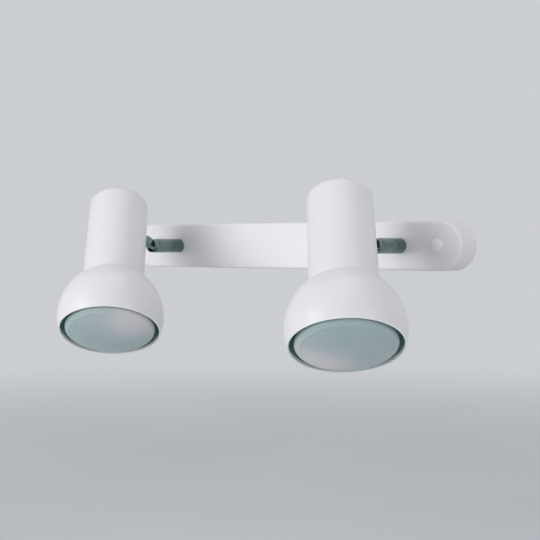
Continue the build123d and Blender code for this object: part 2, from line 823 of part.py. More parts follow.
def make_lampholder(side, head):
    with BuildPart() as body:
        with BuildSketch(turning(head)):
            Polygon(
                (holder_bore_radius, holder_bottom),
                (holder_radius, holder_bottom),
                (holder_radius, holder_step - holder_skirt_wall),
                (holder_waist_radius, holder_step),
                (holder_waist_radius, holder_top),
                (0, holder_top),
                (0, holder_floor),
                (holder_bore_radius, holder_floor),
                align=None,
            )
        revolve(axis=turn_axis(head))
        with BuildSketch(head.offset(holder_top)):
            with GridLocations(0, holder_screw_spacing, 1, 2):
                Circle(holder_screw_radius)
        extrude(amount=-(holder_top - holder_floor - 2), mode=Mode.SUBTRACT)
        with BuildSketch(Plane(origin=head.origin, x_dir=head.y_dir, z_dir=head.x_dir)):
            with Locations((0, terminal_level)):
                Circle(terminal_radius + thread_clearance)
        extrude(amount=holder_radius, both=True, mode=Mode.SUBTRACT)
    save(body, f"lampholder_{side}")

    with BuildPart() as shell:
        with BuildSketch(head.offset(shell_bottom)):
            Circle(shell_radius)
            Circle(shell_radius - shell_wall, mode=Mode.SUBTRACT)
        extrude(amount=shell_height)
    save(shell, f"screw_shell_{side}")

    with BuildPart() as contact:
        with BuildSketch(Plane(origin=head.origin, x_dir=head.x_dir, z_dir=-head.y_dir)):
            Polygon(
                (-contact_length / 2, holder_floor),
                (-contact_length / 2 + 4, holder_floor),
                (-contact_length / 2 + 7, lamp_tip + contact_sheet),
                (lamp_contact_radius, lamp_tip + contact_sheet),
                (lamp_contact_radius, lamp_tip),
                (-contact_length / 2 + 7, lamp_tip),
                (-contact_length / 2 + 4, holder_floor - contact_sheet),
                (-contact_length / 2, holder_floor - contact_sheet),
                align=None,
            )
        extrude(amount=contact_width / 2, both=True)
    save(contact, f"centre_contact_{side}")


def make_holder_screws(side, head):
    seat = head.offset(holder_top + holder_bracket_sheet)
    depth = holder_bracket_sheet + (holder_top - holder_floor) / 2
    with BuildPart() as screws:
        with BuildSketch(seat):
            with GridLocations(0, holder_screw_spacing, 1, 2):
                Circle(holder_screw_radius)
        extrude(amount=-depth)
        with BuildSketch(seat):
            with GridLocations(0, holder_screw_spacing, 1, 2):
                Circle(holder_screw_head_radius)
        extrude(amount=holder_screw_head_height)
        with BuildSketch(seat.offset(holder_screw_head_height)):
            with GridLocations(0, holder_screw_spacing, 1, 2):
                Rectangle(0.7, 3 * holder_screw_head_radius)
        extrude(amount=-0.9, mode=Mode.SUBTRACT)
    save(screws, f"lampholder_screws_{side}")

    sideways = Plane(origin=head.origin, x_dir=head.y_dir, z_dir=head.x_dir)
    with BuildPart() as terminals:
        for end in (1, -1):
            with BuildSketch(sideways.offset(end * (holder_waist_radius - 5))):
                with Locations((0, terminal_level)):
                    Circle(terminal_radius)
            extrude(amount=end * 5)
            with BuildSketch(sideways.offset(end * holder_waist_radius)):
                with Locations((0, terminal_level)):
                    Circle(2 * terminal_radius)
            extrude(amount=end * 2)
    save(terminals, f"lampholder_terminals_{side}")


# ---------------------------------------------------------------------------- lamp


def make_lamp(side, head):
    with BuildPart() as glass:
        with BuildSketch(turning(head)):
            with BuildLine():
                face = ThreePointArc(
                    (0, lamp_apex),
                    (lamp_face_radius / 2, lamp_apex + lamp_face_rise / 4),
                    (lamp_face_radius, lamp_apex + lamp_face_rise),
                )
                edge = TangentArc(face @ 1, (lamp_radius, lamp_widest), tangent=face % 1)
                reflector = ThreePointArc(
                    edge @ 1,
                    (lamp_radius * 0.86, (lamp_widest + lamp_shoulder) / 2),
                    (lamp_neck_radius + 6, lamp_shoulder),
                )
                throat = TangentArc(
                    reflector @ 1, (lamp_neck_radius, lamp_glass_top - 12), tangent=reflector % 1
                )
                Polyline(throat @ 1, (lamp_neck_radius, lamp_glass_top), (0, lamp_glass_top), face @ 0)
            make_face()
            # nothing shows the inside, so it is plain cones one wall in from the outside
            wall_in = [reflector @ (k / 4) for k in range(5)] + [throat @ 0.5, throat @ 1]
            with BuildLine():
                Polyline(
                    (0, lamp_apex + lamp_glass_wall),
                    (lamp_face_radius, lamp_apex + lamp_face_rise + lamp_glass_wall),
                    *[(point.X - lamp_glass_wall, point.Y) for point in wall_in],
                    (lamp_neck_radius - lamp_glass_wall, lamp_glass_top),
                    (0, lamp_glass_top),
                    close=True,
                )
            make_face(mode=Mode.SUBTRACT)
        revolve(axis=turn_axis(head))
    save(glass, f"lamp_glass_{side}")

    collar = lamp_neck_radius + lamp_cap_sheet
    contact_foot = lamp_tip - lamp_contact_height
    with BuildPart() as cap:
        with BuildSketch(turning(head)):
            Polygon(
                (lamp_neck_radius, lamp_cap_bottom),
                (collar, lamp_cap_bottom),
                (collar, lamp_glass_top + lamp_cap_sheet),
                (lamp_cap_radius, lamp_glass_top + lamp_cap_sheet),
                (lamp_cap_radius, lamp_cap_top),
                (lamp_cap_radius - 4, lamp_cap_top + 1.5),
                (lamp_cap_radius - 4, lamp_cap_top + 1.5 - lamp_cap_sheet),
                (lamp_cap_radius - lamp_cap_sheet, lamp_cap_top - lamp_cap_sheet),
                (lamp_cap_radius - lamp_cap_sheet, lamp_glass_top),
                (lamp_neck_radius, lamp_glass_top),
                align=None,
            )
        revolve(axis=turn_axis(head))
        with BuildSketch(head.offset(contact_foot)):
            Circle(lamp_contact_radius)
        extrude(amount=lamp_contact_height)
    save(cap, f"lamp_cap_{side}")

    with BuildPart() as insulator:
        with BuildSketch(turning(head)):
            Polygon(
                (0, lamp_cap_top - lamp_cap_sheet),
                (lamp_cap_radius - 4, lamp_cap_top + 1.5 - lamp_cap_sheet),
                (lamp_cap_radius - 4, lamp_cap_top + 1.5),
                (lamp_contact_radius, contact_foot),
                (0, contact_foot),
                align=None,
            )
        revolve(axis=turn_axis(head))
    save(insulator, f"lamp_insulator_{side}")


# ---------------------------------------------------------------------------- the whole light

make_canopy()
make_wall_bracket()
make_studs()
make_domed_nuts()
make_grommet()
make_terminal_block()
make_terminal_clamps()
make_clamp_screws()
make_block_screws()
make_earth_terminal()

make_collar_fixings(side_planes(1)[0])

for side, sign in sides.items():
    stem, pivot, knuckle, head = side_planes(sign)
    make_collar(side, stem)
    make_barrel(side, stem, pivot)
    make_retaining_ring(side, stem)
    make_pivot_screws(side, pivot)
    make_knuckle(side, knuckle, head)
    make_knuckle_fixings(side, knuckle)
    make_head_tube(side, knuckle, head)
    make_shade(side, head)
    make_holder_bracket(side, knuckle, head)
    make_lampholder(side, head)
    make_holder_screws(side, head)
    make_lamp(side, head)
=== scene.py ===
from math import acos, asin, cos, pi, radians, sin, sqrt

import bmesh
import bpy
import numpy as np
from mathutils import Matrix, Vector


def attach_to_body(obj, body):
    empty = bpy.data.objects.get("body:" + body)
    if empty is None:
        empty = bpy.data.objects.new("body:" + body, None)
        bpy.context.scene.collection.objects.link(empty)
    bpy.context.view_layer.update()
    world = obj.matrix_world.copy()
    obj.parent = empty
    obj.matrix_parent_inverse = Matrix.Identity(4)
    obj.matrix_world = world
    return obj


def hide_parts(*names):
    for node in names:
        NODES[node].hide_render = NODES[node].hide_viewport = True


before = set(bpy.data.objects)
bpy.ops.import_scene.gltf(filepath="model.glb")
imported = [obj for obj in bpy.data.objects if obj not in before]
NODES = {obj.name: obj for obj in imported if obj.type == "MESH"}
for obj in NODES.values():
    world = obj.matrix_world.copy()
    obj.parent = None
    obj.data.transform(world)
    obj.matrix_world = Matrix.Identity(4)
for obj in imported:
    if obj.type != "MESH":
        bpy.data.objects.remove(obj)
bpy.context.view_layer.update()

# Sizes are in millimetres, as in the CAD, and become metres where a mesh or a light is placed.
MM = 0.001
SIDES = {"left": -1, "right": 1}
PAN, TILT = radians(22), radians(25)

# The light's sizes as in the CAD. Heights in a head are above the shade's rim.
STEM_X, CANOPY_DEPTH, STEM_TO_PIVOT = 127.5, 26.0, 34.5
HEAD_OFFSET, HEAD_HEIGHT = 47.0, 112.5
SHADE_R, SHADE_WIDEST, SHADE_CROWN, SHADE_WALL, SHADE_COLLAR = 47.5, 14.4, 48.2, 1.0, 10.0
TUBE_R, TUBE_TOP_R, TUBE_SHOULDER, TUBE_TOP, TUBE_WALL = 27.9, 27.1, 133.0, 146.5, 0.8
TUBE_HOLE_R, FOOT_ROUND, LIP_FOLD = 4.1, 0.55, 1.1
LAMP_R, LAMP_FACE_R, LAMP_NECK_R, LAMP_WALL = 40.0, 35.0, 14.2, 1.0
LAMP_APEX, LAMP_FACE_TOP, LAMP_WIDEST, LAMP_SHOULDER, LAMP_GLASS_TOP = -6.9, -2.4, 2.0, 52.1, 79.1
CAP_R, CAP_BOTTOM, CAP_TOP, LAMP_TIP, CAP_PITCH = 13.05, 76.1, 99.6, 105.1, 3.63

# How finely the surfaces of revolution are divided.
SKIN_SEGS, LAMP_SEGS, SMALL_SEGS, BUTTON_SEGS = 192, 144, 64, 48
THREAD_ROWS = 10

# Angles in degrees above which an edge is left sharp.
TRUE_EDGE, CUT_EDGE, SKIN_EDGE, LAMP_EDGE = 32, 40, 50, 60
WELD = 0.000002


# ---------------------------------------------------------------- placing


def light_frames(sign):
    """The knuckle at its pivot and the head at its shade's rim, each (origin, x, y, z) as in the CAD."""
    out = Vector((0, -1, 0))
    q = Vector((cos(PAN), 0, sin(PAN)))
    f = out * cos(TILT) + out.cross(q) * sin(TILT)
    u = f.cross(q)
    pivot = Vector((sign * STEM_X, -CANOPY_DEPTH, 0)) + out * STEM_TO_PIVOT
    return {
        "knuckle": (pivot, q, u, f),
        "head": (pivot + f * HEAD_OFFSET - u * HEAD_HEIGHT, q, -f, u),
    }


FRAMES = {side: light_frames(sign) for side, sign in SIDES.items()}


def at(base, x, y, z):
    """A point given in a frame, as a place in metres."""
    o, ax, ay, az = base
    return (o + ax * x + ay * y + az * z) * MM


# ---------------------------------------------------------------- meshes


def make_object(name, verts, faces, materials, indices=None, smooth=CUT_EDGE):
    """A mesh object with its normals outwards. indices gives each face's material."""
    mesh = bpy.data.meshes.new(name)
    mesh.from_pydata([tuple(v) for v in verts], [], faces)
    mesh.validate()
    for m in materials:
        mesh.materials.append(m)
    if indices:
        mesh.polygons.foreach_set("material_index", indices)
    obj = bpy.data.objects.new(name, mesh)
    bpy.context.scene.collection.objects.link(obj)
    recalc(obj)
    shade(obj, smooth)
    return obj


def recalc(obj):
    bm = bmesh.new()
    bm.from_mesh(obj.data)
    bmesh.ops.recalc_face_normals(bm, faces=bm.faces)
    bm.to_mesh(obj.data)
    bm.free()


def shade(obj, angle):
    """Smooth shading, with an edge left sharp where its faces meet at more than this angle."""
    bm = bmesh.new()
    bm.from_mesh(obj.data)
    limit = radians(angle)
    for e in bm.edges:
        e.smooth = len(e.link_faces) == 2 and e.calc_face_angle(0.0) < limit
    for f in bm.faces:
        f.smooth = True
    bm.to_mesh(obj.data)
    bm.free()


def ring(base, r, t, segs):
    return [at(base, r * cos(2 * pi * k / segs), r * sin(2 * pi * k / segs), t) for k in range(segs)]


def lathe(name, base, profile, materials, pick=None, segs=SMALL_SEGS, closed=True, smooth=CUT_EDGE):
    """Turns (radius, height) points about base's last axis.

    A point on the axis becomes one vertex, and pick chooses a material from a span's two points.
    """
    verts, rings, faces, indices = [], [], [], []
    for r, t in profile:
        if r < 1e-6:
            rings.append([len(verts)])
            verts.append(at(base, 0, 0, t))
        else:
            rings.append(list(range(len(verts), len(verts) + segs)))
            verts += ring(base, r, t, segs)
    spans = list(zip(range(len(rings)), range(1, len(rings))))
    if closed:
        spans.append((len(rings) - 1, 0))
    for i, j in spans:
        a, b = rings[i], rings[j]
        if len(a) == 1 and len(b) == 1:
            continue
        for k in range(segs):
            n = (k + 1) % segs
            if len(a) == 1:
                faces.append((a[0], b[n], b[k]))
            elif len(b) == 1:
                faces.append((a[k], a[n], b[0]))
            else:
                faces.append((a[k], a[n], b[n], b[k]))
            indices.append(pick(profile[i], profile[j]) if pick else 0)
    return make_object(name, verts, faces, materials, indices, smooth)


def arc(cx, cy, rx, ry, start, end, steps, power=2.0):
    """Points on an ellipse, or on a squarer one with a larger power, by its own angle in degrees."""
    bulge = lambda v: ((v > 0) - (v < 0)) * abs(v) ** (2 / power)
    angles = [radians(start + (end - start) * k / steps) for k in range(steps + 1)]
    return [(cx + rx * bulge(cos(a)), cy + ry * bulge(sin(a))) for a in angles]


def between(a, b, c, d, s):
    """A Catmull-Rom spline's value at s from b to c."""
    slope, curve, twist = c - a, 2 * a - 5 * b + 4 * c - d, 3 * b - a - 3 * c + d
    return 0.5 * (2 * b + slope * s + curve * s * s + twist * s**3)


def bend(points, steps):
    """A smooth line through (radius, height) points."""
    out = []
    ext = [points[0]] + list(points) + [points[-1]]
    for a, b, c, d in zip(ext, ext[1:], ext[2:], ext[3:]):
        for k in range(steps):
            out.append(tuple(between(a[i], b[i], c[i], d[i], k / steps) for i in (0, 1)))
    out.append(points[-1])
    return out


def threaded(name, base, root, crest, low, high, inside, material):
    """A tube whose outside carries a rounded screw thread, which runs out at both ends."""
    verts, faces, segs, pitch = [], [], SMALL_SEGS, CAP_PITCH
    rows = int((high - low) / pitch * THREAD_ROWS)
    for i in range(rows + 1):
        t = low + (high - low) * i / rows
        fade = min(1, (t - low) / pitch * 1.3, (high - t) / pitch * 1.3)
        for k in range(segs):
            w = (t / pitch - k / segs) % 1.0
            ridge = 0.5 - 0.5 * cos(2 * pi * w)
            r = root + (crest - root) * ridge * max(fade, 0)
            a = 2 * pi * k / segs
            verts.append(at(base, r * cos(a), r * sin(a), t))
    for t in (high, low):
        verts += ring(base, inside, t, segs)
    order = list(range(rows + 3)) + [0]
    for i, j in zip(order, order[1:]):
        for k in range(segs):
            n = (k + 1) % segs
            faces.append((i * segs + k, i * segs + n, j * segs + n, j * segs + k))
    return make_object(name, verts, faces, [material], smooth=LAMP_EDGE)


def cut(obj, cutter):
    """Cuts cutter's shape out of obj for good."""
    m = obj.modifiers.new("cut", "BOOLEAN")
    m.operation, m.object, m.solver = "DIFFERENCE", cutter, "EXACT"
    graph = bpy.context.evaluated_depsgraph_get()
    mesh = bpy.data.meshes.new_from_object(obj.evaluated_get(graph))
    obj.modifiers.remove(m)
    old, obj.data = obj.data, mesh
    bpy.data.meshes.remove(old)
    bpy.data.objects.remove(cutter)
    shade(obj, CUT_EDGE)


def rod(base, r, low, high):
    """A plain round cutter."""
    return lathe("cutter", base, [(0, low), (r, low), (r, high), (0, high)], [], closed=False)


# ---------------------------------------------------------------- materials


class Nodes:
    """A material, with a short way to wire its nodes. Patterns follow each mesh's own coordinates, in metres."""

    def __init__(self, name):
        self.m = bpy.data.materials.new(name)
        self.m.use_nodes = True
        self.tree = self.m.node_tree
        self.shader = self.tree.nodes["Principled BSDF"]
        self.coords = self.add("ShaderNodeTexCoord").outputs["Object"]

    def add(self, kind, **values):
        node = self.tree.nodes.new(kind)
        for key, value in values.items():
            if key in node.inputs:
                node.inputs[key].default_value = value
            else:
                setattr(node, key, value)
        return node

    def link(self, a, b):
        self.tree.links.new(a, b)

    def set(self, **values):
        """Sets values on the shader's own sockets."""
        for key, value in values.items():
            key = key.replace("_", " ")
            socket = self.shader.inputs[key]
            socket.default_value = (*value, 1) if socket.type == "RGBA" else value

    def noise(self, scale, detail=2.0, rough=0.5, vector=None, stretch=None):
        n = self.add("ShaderNodeTexNoise", Scale=scale, Detail=detail, Roughness=rough)
        source = vector or self.coords
        if stretch:
            mapping = self.add("ShaderNodeMapping")
            mapping.inputs["Scale"].default_value = stretch
            self.link(source, mapping.inputs["Vector"])
            source = mapping.outputs["Vector"]
        self.link(source, n.inputs["Vector"])
        return n.outputs["Fac"]

    def ramp(self, fac, *stops):
        """A ramp over (position, colour or grey) stops."""
        node = self.add("ShaderNodeValToRGB")
        r = node.color_ramp
        while len(r.elements) < len(stops):
            r.elements.new(0.5)
        for e, (pos, colour) in zip(r.elements, stops):
            e.position = pos
            e.color = (*colour, 1) if isinstance(colour, tuple) else (colour, colour, colour, 1)
        self.link(fac, node.inputs["Fac"])
        return node.outputs["Color"]

    def math(self, op, a, b):
        n = self.add("ShaderNodeMath", operation=op)
        for socket, v in zip(n.inputs, (a, b)):
            if isinstance(v, (int, float)):
                socket.default_value = v
            else:
                self.link(v, socket)
        return n.outputs[0]

    def bump(self, height, distance, strength):
        b = self.add("ShaderNodeBump", Strength=strength, Distance=distance)
        self.link(height, b.inputs["Height"])
        self.link(b.outputs["Normal"], self.shader.inputs["Normal"])

    def along(self, direction, frequency):
        """A coordinate that only varies along a direction, for turning marks."""
        dot = self.add("ShaderNodeVectorMath", operation="DOT_PRODUCT")
        self.link(self.coords, dot.inputs[0])
        dot.inputs[1].default_value = [c * frequency for c in direction]
        both = self.add("ShaderNodeCombineXYZ")
        self.link(dot.outputs["Value"], both.inputs["X"])
        return both.outputs["Vector"]


def shift(colour, k):
    """The colour made lighter or darker."""
    return tuple(min(1.0, c * k) for c in colour)


def powder_coat(name, colour, rough):
    """Baked powder paint: a faint orange peel, tiny changes of tone, and gloss that varies a little."""
    n = Nodes(name)
    tone = n.ramp(n.noise(5, 2), (0.3, shift(colour, 0.985)), (0.7, shift(colour, 1.01)))
    n.link(tone, n.shader.inputs["Base Color"])
    n.link(n.ramp(n.noise(35, 2), (0.3, rough - 0.03), (0.7, rough + 0.03)), n.shader.inputs["Roughness"])
    n.bump(n.noise(900, 2, 0.45), 0.000012, 0.4)
    n.set(Coat_Weight=0.3, Coat_Roughness=0.16, Specular_IOR_Level=0.4)
    return n.m


def plated(name, colour, rough, axis=None, lines=0):
    """Plated metal with faint cloudy tarnish, and fine scratches or this many turning marks a metre along an axis."""
    n = Nodes(name)
    tarnish = n.ramp(n.noise(140, 4, 0.6), (0.3, shift(colour, 0.86)), (0.65, colour), (0.8, shift(colour, 1.12)))
    n.link(tarnish, n.shader.inputs["Base Color"])
    if axis is None:
        marks = n.noise(2600, 3, 0.6, stretch=(1, 0.06, 1))
    else:
        marks = n.noise(1, 3, 0.6, vector=n.along(axis, lines))
    n.link(n.ramp(marks, (0.25, rough - 0.07), (0.75, rough + 0.09)), n.shader.inputs["Roughness"])
    n.bump(marks, 0.000008, 0.6)
    n.set(Metallic=1.0)
    return n.m


def moulded(name, colour, rough, grain=900, depth=0.00003):
    """Plastic or rubber with a fine grain."""
    n = Nodes(name)
    tone = n.ramp(n.noise(40, 3), (0.3, shift(colour, 0.94)), (0.7, shift(colour, 1.03)))
    n.link(tone, n.shader.inputs["Base Color"])
    n.link(n.ramp(n.noise(200, 2), (0.3, rough - 0.06), (0.7, rough + 0.06)), n.shader.inputs["Roughness"])
    n.bump(n.noise(grain, 3, 0.6), depth, 0.5)
    return n.m


def glaze(name, colour):
    """Glazed porcelain."""
    n = Nodes(name)
    n.link(n.ramp(n.noise(70, 3), (0.35, shift(colour, 0.96)), (0.65, colour)), n.shader.inputs["Base Color"])
    n.link(n.ramp(n.noise(300, 2), (0.3, 0.14), (0.7, 0.26)), n.shader.inputs["Roughness"])
    n.bump(n.noise(420, 2), 0.00006, 0.4)
    n.set(Coat_Weight=0.6, Coat_Roughness=0.05)
    return n.m


def frosted_glass(name, glow):
    """The lamp's face: etched glass with a cloudy tone, and a painted highlight that makes it lighter round one place.
    """
    n = Nodes(name)
    # A painted highlight: the face's colour is made lighter round one place on each lamp.
    away = n.add("ShaderNodeVectorMath", operation="DISTANCE")
    n.link(n.coords, away.inputs[0])
    away.inputs[1].default_value = [c * MM for c in glow]
    highlight = n.add("ShaderNodeMapRange", interpolation_type="SMOOTHSTEP")
    highlight.inputs["From Min"].default_value, highlight.inputs["From Max"].default_value = HIGHLIGHT_EDGE, HIGHLIGHT_CORE
    n.link(away.outputs["Value"], highlight.inputs["Value"])
    clouds = n.math("MULTIPLY", n.noise(24, 3, 0.55, stretch=(1.0, 0.6, 1.6)), 0.5)
    depth = n.math("ADD", clouds, n.math("MULTIPLY", highlight.outputs["Result"], 0.55))
    colour = n.ramp(depth, (0.15, GLASS_DEEP), (0.42, GLASS_MIDDLE), (0.80, GLASS_HIGHLIGHT))
    n.link(colour, n.shader.inputs["Base Color"])
    n.link(n.ramp(n.noise(120, 3), (0.3, 0.34), (0.7, 0.46)), n.shader.inputs["Roughness"])
    n.bump(n.noise(3800, 2, 0.5), 0.00002, 0.5)
    n.set(Coat_Weight=0.35, Coat_Roughness=0.22)
    n.set(Subsurface_Weight=0.15, Subsurface_Radius=(0.004, 0.005, 0.005), Subsurface_Scale=1.0)
    return n.m


def silvered(name):
    """The bulb's mirror coat, seen through its glass."""
    n = Nodes(name)
    n.link(n.ramp(n.noise(90, 4), (0.3, (0.74, 0.75, 0.76)), (0.7, (0.86, 0.87, 0.87))), n.shader.inputs["Base Color"])
    n.link(n.ramp(n.noise(160, 3), (0.3, 0.12), (0.7, 0.22)), n.shader.inputs["Roughness"])
    n.bump(n.noise(500, 2), 0.00003, 0.3)
    n.set(Metallic=1.0, Coat_Weight=0.8, Coat_Roughness=0.03)
    return n.m


# Where the painted highlight on each lamp's face is lightest, in millimetres, and how far it reaches, in metres.
LAMP_HIGHLIGHT = {"left": (-61, -154, -69), "right": (134, -154, -94)}
HIGHLIGHT_EDGE, HIGHLIGHT_CORE = 0.046, 0.004
# The lightest of these glass colours is the colour of the painted highlight.
GLASS_DEEP, GLASS_MIDDLE, GLASS_HIGHLIGHT = (0.38, 0.50, 0.49), (0.46, 0.55, 0.55), (0.70, 0.69, 0.71)
TURNED = {"axis": (0, 1, 0), "lines": 9000}

canopy_white = powder_coat("canopy_white", (0.80, 0.785, 0.80), 0.5)
head_white = powder_coat("head_white", (0.775, 0.765, 0.785), 0.42)
nut_white = powder_coat("nut_white", (0.78, 0.77, 0.78), 0.45)
# The shade's inside is pale green, standing in for coloured light in it: painted reflection.
inside_painted_reflection = powder_coat("shade_inside_painted_reflection", (0.55, 0.86, 0.81), 0.42)
# The lip is a lighter white than the head: a painted highlight.
lip_painted_highlight = powder_coat("shade_lip_painted_highlight", (0.90, 0.92, 0.92), 0.3)
zinc = plated("zinc", (0.63, 0.65, 0.66), 0.34)
black_steel = plated("black_steel", (0.05, 0.05, 0.055), 0.42)
# The screws take the swivel's grey-green, so they carry the same painted reflection.
screw_steel_painted_reflection = plated("screw_steel_painted_reflection", (0.20, 0.275, 0.26), 0.36)
brass = plated("brass", (0.70, 0.53, 0.26), 0.28)
cap_metal = plated("cap_metal", (0.70, 0.69, 0.65), 0.22)
# The nickel's green tint stands in for coloured surroundings reflected in it: painted reflection.
swivel_metal_painted_reflection = plated("swivel_nickel_painted_reflection", (0.235, 0.325, 0.31), 0.33, **TURNED)
# A darker copy of the swivel nickel: painted shade, on top of the same painted reflection.
collar_metal_painted_shade_and_reflection = plated("collar_nickel_painted_shade_and_reflection", (0.165, 0.25, 0.232), 0.33, **TURNED)
porcelain = glaze("porcelain", (0.83, 0.81, 0.76))
polyamide = moulded("polyamide", (0.80, 0.79, 0.75), 0.5)
rubber = moulded("rubber", (0.018, 0.018, 0.02), 0.62, 1400)
vitrite = moulded("vitrite", (0.012, 0.012, 0.016), 0.14, 300, 0.00001)
lamp_faces = {side: frosted_glass(f"lamp_face_{side}", glow) for side, glow in LAMP_HIGHLIGHT.items()}
lamp_silver = silvered("lamp_silver")


# ---------------------------------------------------------------- CAD nodes that stay


def values(items, name, width=1, kind=float):
    """One property of all of a mesh's items, as an array."""
    out = np.empty(len(items) * width, kind)
    items.foreach_get(name, out)
    return out


def mark_true_edges(mesh):
    """The CAD's meshes are split along every face's border, so the faces at an edge are found by its place."""
    count = len(mesh.polygons)
    co, ends = values(mesh.vertices, "co", 3), values(mesh.edges, "vertices", 2, int)
    normals, corners = values(mesh.polygons, "normal", 3), values(mesh.polygons, "loop_total", 1, int)
    loop_edge = values(mesh.loops, "edge_index", 1, int)
    place = np.unique(co.reshape(-1, 3), axis=0, return_inverse=True)[1].reshape(-1)
    ends = np.sort(place[ends].reshape(-1, 2), axis=1)
    edge_key = np.unique(ends, axis=0, return_inverse=True)[1].reshape(-1)
    key, face = edge_key[loop_edge], np.repeat(np.arange(count), corners)
    order = np.argsort(key, kind="stable")
    key, face = key[order], face[order]
    normals = normals.reshape(-1, 3)
    alike = (normals[face[1:]] * normals[face[:-1]]).sum(axis=1)
    sharp = key[:-1][(key[1:] == key[:-1]) & (alike < cos(radians(TRUE_EDGE)))]
    mesh.edges.foreach_set("use_edge_sharp", np.isin(edge_key, sharp))


def finish_node(name, material, bevel):
    """A node keeps its shape. It gets its material, smooth shading, and a slight round on its true edges."""
    obj = NODES[name]
    mesh = obj.data
    mesh.materials.clear()
    mesh.materials.append(material)
    if "custom_normal" in mesh.attributes:
        mesh.attributes.remove(mesh.attributes["custom_normal"])
    for poly in mesh.polygons:
        poly.use_smooth = True
    mark_true_edges(mesh)
    weld = obj.modifiers.new("weld", "WELD")
    weld.merge_threshold = WELD
    if bevel:
        b = obj.modifiers.new("edge", "BEVEL")
        b.width, b.segments, b.limit_method, b.angle_limit = bevel * MM, 2, "ANGLE", radians(TRUE_EDGE)
        b.use_clamp_overlap, b.harden_normals = True, False
    even = obj.modifiers.new("even", "WEIGHTED_NORMAL")
    even.keep_sharp, even.weight = True, 90


# Each node that stays, with its material and the width of the round on its edges.
ROOT = {
    "canopy": (canopy_white, 0.0),
    "wall_bracket": (zinc, 0.15),
    "canopy_studs": (zinc, 0.1),
    "domed_nuts": (nut_white, 0.12),
    "cable_grommet": (rubber, 0.1),
    "terminal_block": (polyamide, 0.2),
    "terminal_clamps": (brass, 0.1),
    "terminal_screws": (zinc, 0.06),
    "terminal_block_screws": (zinc, 0.1),
    "earth_screw": (brass, 0.1),
    "earth_washer": (brass, 0.1),
    "collar_washers": (zinc, 0.05),
    "collar_locknuts": (brass, 0.2),
    "friction_washers": (black_steel, 0.05),
    "pan_stop_pins": (zinc, 0.05),
    "swivel_collar_left": (collar_metal_painted_shade_and_reflection, 0.2),
    "swivel_collar_right": (collar_metal_painted_shade_and_reflection, 0.2),
}
EACH = {
    "swivel_barrel": (swivel_metal_painted_reflection, 0.12),
    "retaining_ring": (black_steel, 0.05),
    "pivot_screws": (screw_steel_painted_reflection, 0.06),
    "knuckle": (swivel_metal_painted_reflection, 0.15),
    "knuckle_washer": (zinc, 0.05),
    "knuckle_locknut": (brass, 0.2),
    "lampholder_bracket": (zinc, 0.15),
    "lampholder": (porcelain, 0.4),
    "screw_shell": (brass, 0.05),
    "centre_contact": (brass, 0.05),
    "lampholder_screws": (zinc, 0.1),
    "lampholder_terminals": (brass, 0.15),
    "lamp_insulator": (vitrite, 0.1),
}
for node, (paint, width) in ROOT.items():
    finish_node(node, paint, width)
for side in SIDES:
    for node, (paint, width) in EACH.items():
        finish_node(f"{node}_{side}", paint, width)


# ---------------------------------------------------------------- heads


def shade_height(r):
    """How far above the rim the shade's outside has this radius, between its widest part and its neck."""
    return SHADE_WIDEST + SHADE_CROWN * sqrt(1 - (r / SHADE_R) ** 2)


def shade_profile():
    """Outside from the rim up, the collar inside the tube, the inside back down, and a small rolled lip."""
    top = shade_height(TUBE_R) + SHADE_COLLAR
    collar = TUBE_R - TUBE_WALL - 0.15
    low_out = -asin(SHADE_WIDEST / SHADE_CROWN) * 180 / pi
    low_in = -asin(SHADE_WIDEST / (SHADE_CROWN - SHADE_WALL)) * 180 / pi
    high_out = acos((collar + 0.5) / SHADE_R) * 180 / pi
    outer = arc(0, SHADE_WIDEST, SHADE_R, SHADE_CROWN, low_out + 1.2, high_out, 56)
    throat = [
        (collar + 0.12, outer[-1][1] + 0.35),
        (collar, outer[-1][1] + 1.2),
        (collar, top - 0.2),
        (collar - 0.2, top),
        (collar - 0.8, top),
        (collar - 1, top - 0.2),
    ]
    inner_r, inner_crown = SHADE_R - SHADE_WALL, SHADE_CROWN - SHADE_WALL
    high_in = acos((collar - 1) / inner_r) * 180 / pi
    inner = arc(0, SHADE_WIDEST, inner_r, inner_crown, high_in, low_in + 3.0, 56)
    rim, (end_r, end_t) = outer[0][0], inner[-1]
    bead = (rim - end_r + LIP_FOLD) / 2
    lip = [(end_r - 0.15, end_t + 0.9), (end_r - LIP_FOLD, end_t + 0.75)]
    lip += arc(rim - bead, bead * 0.85, bead, bead * 0.85, 170, 355, 12)
    return outer, throat, inner, lip


def attach(obj, side, node=None):
    """A piece of a head rides with it and may stand for a node."""
    if node:
        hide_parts(f"{node}_{side}")
    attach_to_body(obj, f"head_{side}")


def build_shade(side):
    """A bell with a painted outside, a pale green inside whose tint is painted reflection, and a lip made lighter as a
    painted highlight.
    """
    outer, throat, inner, lip = shade_profile()
    profile = outer + throat + inner + lip
    first_inside, last_inside = len(outer) + len(throat) - 1, len(outer) + len(throat) + len(inner)
    inside, edge = set(profile[first_inside:last_inside]), set(lip)
    pick = lambda p, q: 1 if p in inside and q in inside else 2 if p in edge and q in edge else 0
    paints = [head_white, inside_painted_reflection, lip_painted_highlight]
    obj = lathe(f"shade_skin_{side}", FRAMES[side]["head"], profile, paints, pick, SKIN_SEGS, smooth=SKIN_EDGE)
    attach(obj, side, "shade")


